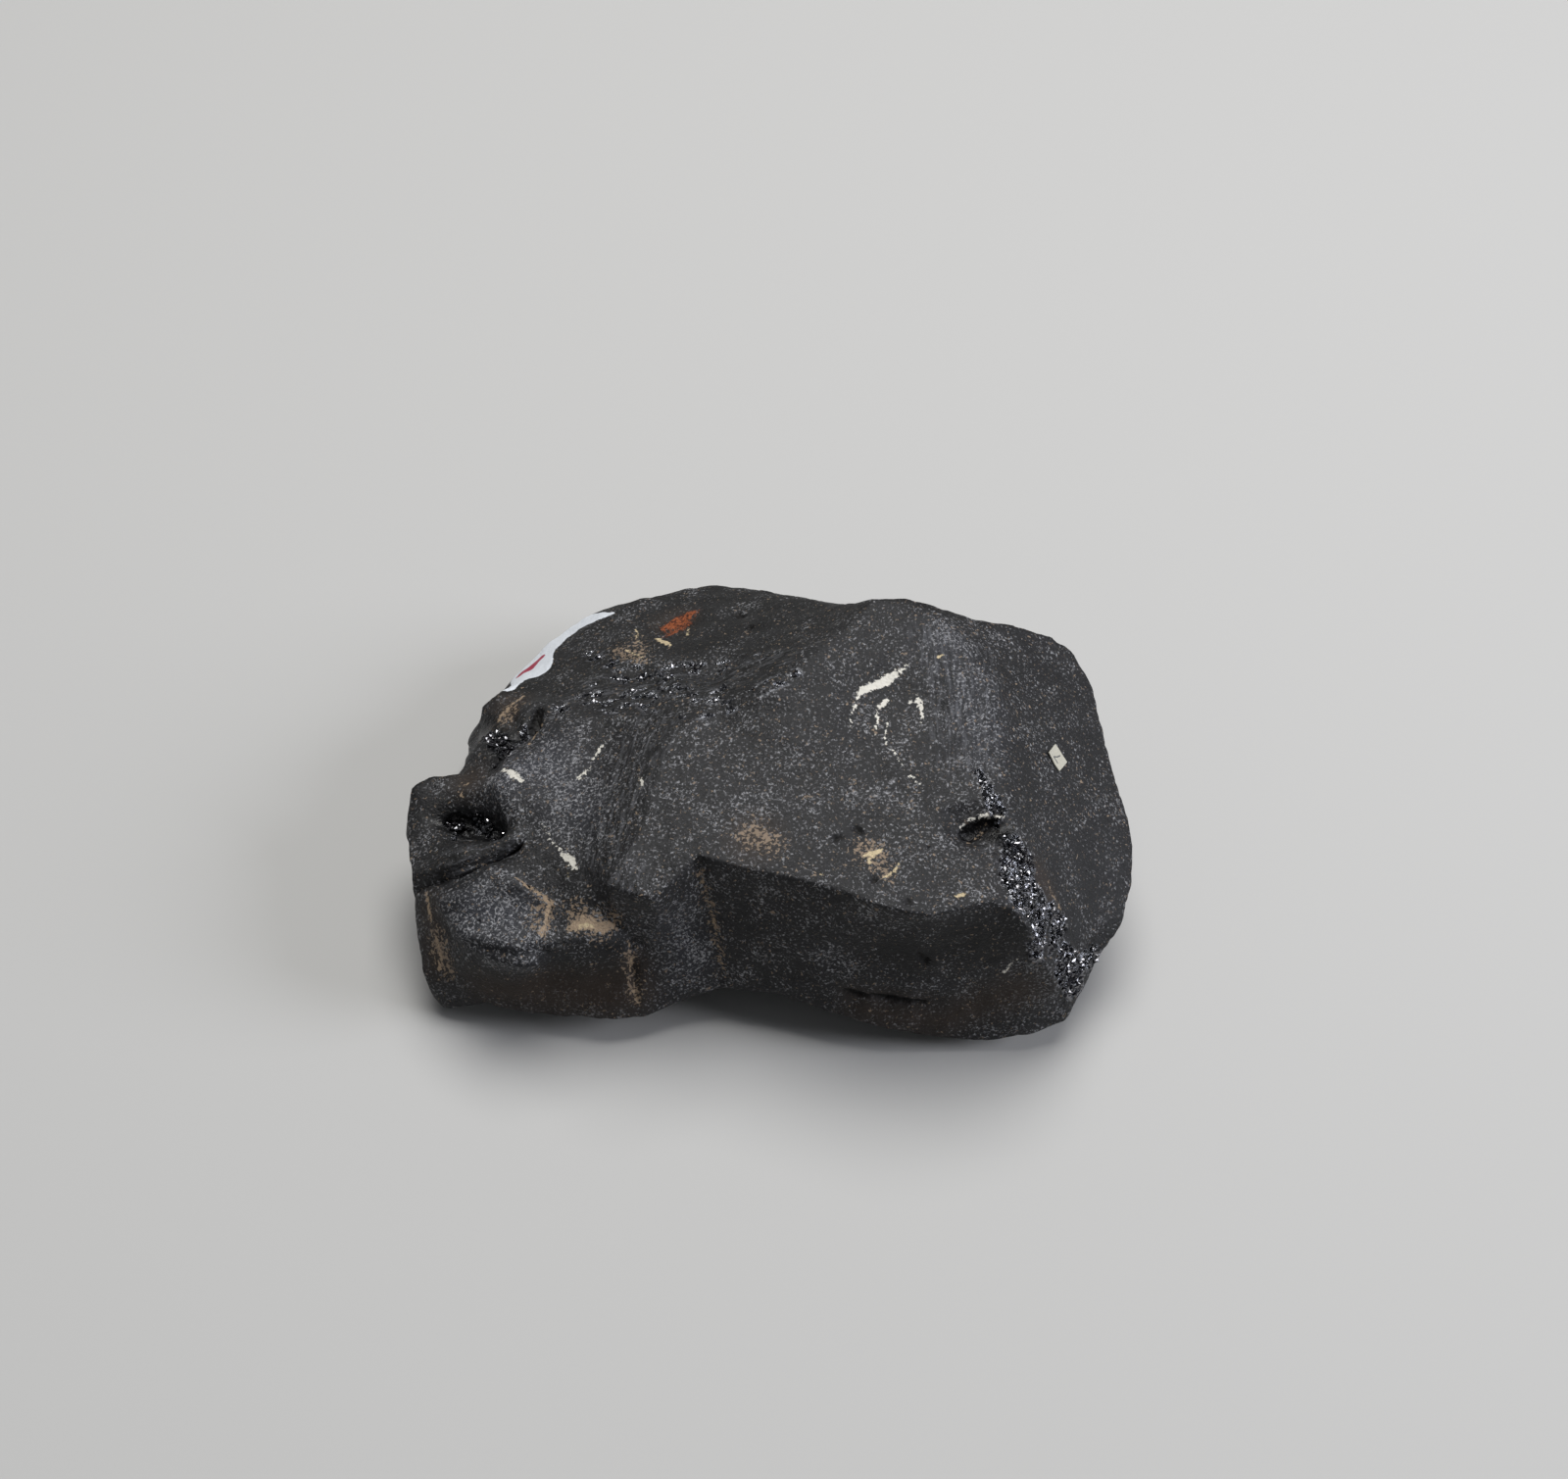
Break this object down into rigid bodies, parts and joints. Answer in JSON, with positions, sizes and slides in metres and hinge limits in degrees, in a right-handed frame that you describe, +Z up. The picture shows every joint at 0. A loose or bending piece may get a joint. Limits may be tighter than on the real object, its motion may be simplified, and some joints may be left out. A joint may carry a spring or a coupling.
{
  "type": "rutile crystal specimen",
  "caption": "Worn twinned crystal of black rutile, a broad wedge with a notched front and a lower stepped end, with a tiny paper label, resting on a flat underside spot.",
  "frame": {"origin": "on the floor under the middle of the crystal's bounding box, at the height of the flat spot it rests on", "axes": "+X along the crystal's length, from the low stepped end to the thick end; +Y from the notched front to the back; +Z up"},
  "size_m": [0.0794, 0.058, 0.0288],
  "materials": {
    "rutile": "satin near-black mineral with fine grey frosting, glossy where freshly broken",
    "label_paper": "matt cream paper"
  },
  "bodies": {
    "root": {"rutile_crystal": "rutile", "paper_label": "label_paper"}
  },
  "joints": []
}
